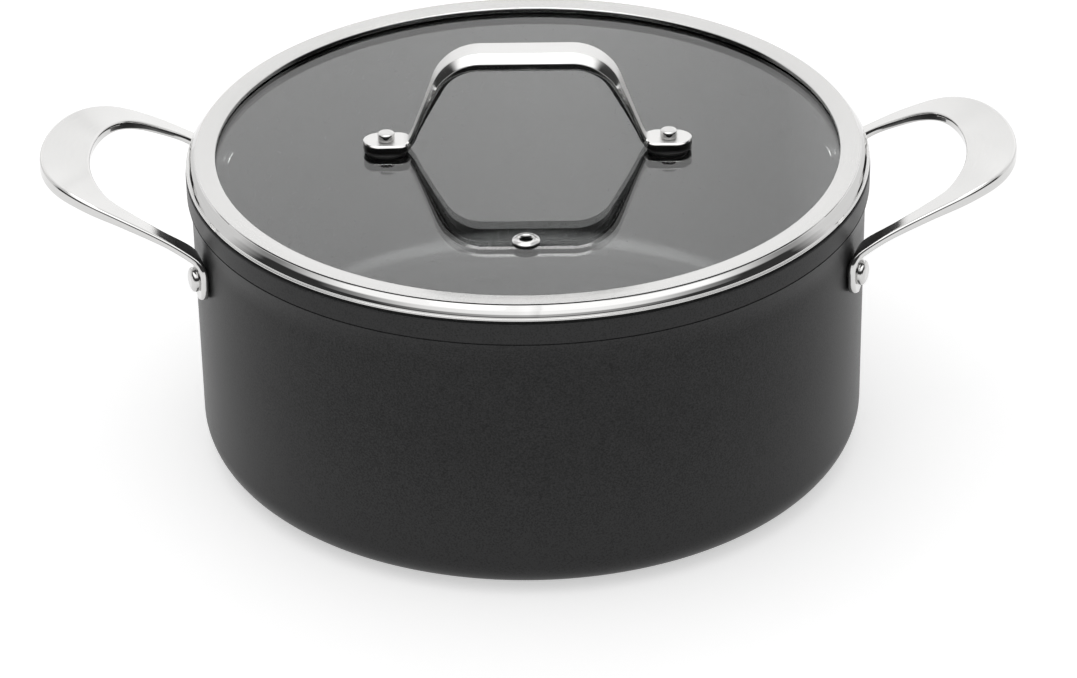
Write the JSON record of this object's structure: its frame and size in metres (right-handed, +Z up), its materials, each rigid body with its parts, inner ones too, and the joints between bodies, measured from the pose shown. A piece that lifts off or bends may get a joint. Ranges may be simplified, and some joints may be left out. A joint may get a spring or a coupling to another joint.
{
  "type": "casserole pot with glass lid",
  "caption": "Deep round non-stick casserole pot with riveted steel loop handles and a lift-off flat glass lid with a steel rim, arch handle and steam vent.",
  "frame": {"origin": "on the table, under the middle of the pot", "axes": "+Z up through the lid handle, +X through the right side handle, -Y towards the steam vent"},
  "size_m": [0.3592, 0.252, 0.1557],
  "materials": {
    "nonstick_pot": "matt charcoal hard-anodised outside, speckled non-stick inside",
    "plate_steel": "turned steel",
    "rim_steel": "satin with a polished edge",
    "handle_steel": "satin top, polished edges",
    "rivet_steel": "polished",
    "lid_glass": "clear toughened glass",
    "black_silicone": "matt"
  },
  "bodies": {
    "pot": {"pot_body": "nonstick_pot", "base_plate": "plate_steel", "left_side_handle": "handle_steel", "right_side_handle": "handle_steel", "left_front_handle_rivet": "rivet_steel", "left_rear_handle_rivet": "rivet_steel", "right_front_handle_rivet": "rivet_steel", "right_rear_handle_rivet": "rivet_steel"},
    "lid": {"lid_glass": "lid_glass", "lid_rim": "rim_steel", "lid_handle": "handle_steel", "left_lid_rivet": "rivet_steel", "right_lid_rivet": "rivet_steel", "left_under_washer": "rivet_steel", "right_under_washer": "rivet_steel", "vent_eyelet": "rivet_steel", "vent_washer": "rivet_steel", "rim_liner": "black_silicone", "left_foot_gasket": "black_silicone", "right_foot_gasket": "black_silicone", "left_glass_bush": "black_silicone", "right_glass_bush": "black_silicone", "left_under_gasket": "black_silicone", "right_under_gasket": "black_silicone", "vent_gasket": "black_silicone"}
  },
  "joints": [
    {"name": "lid_lift", "type": "slide", "parent": "pot", "child": "lid", "axis": [0, 0, 1], "range_m": [0, 0.15]}
  ]
}
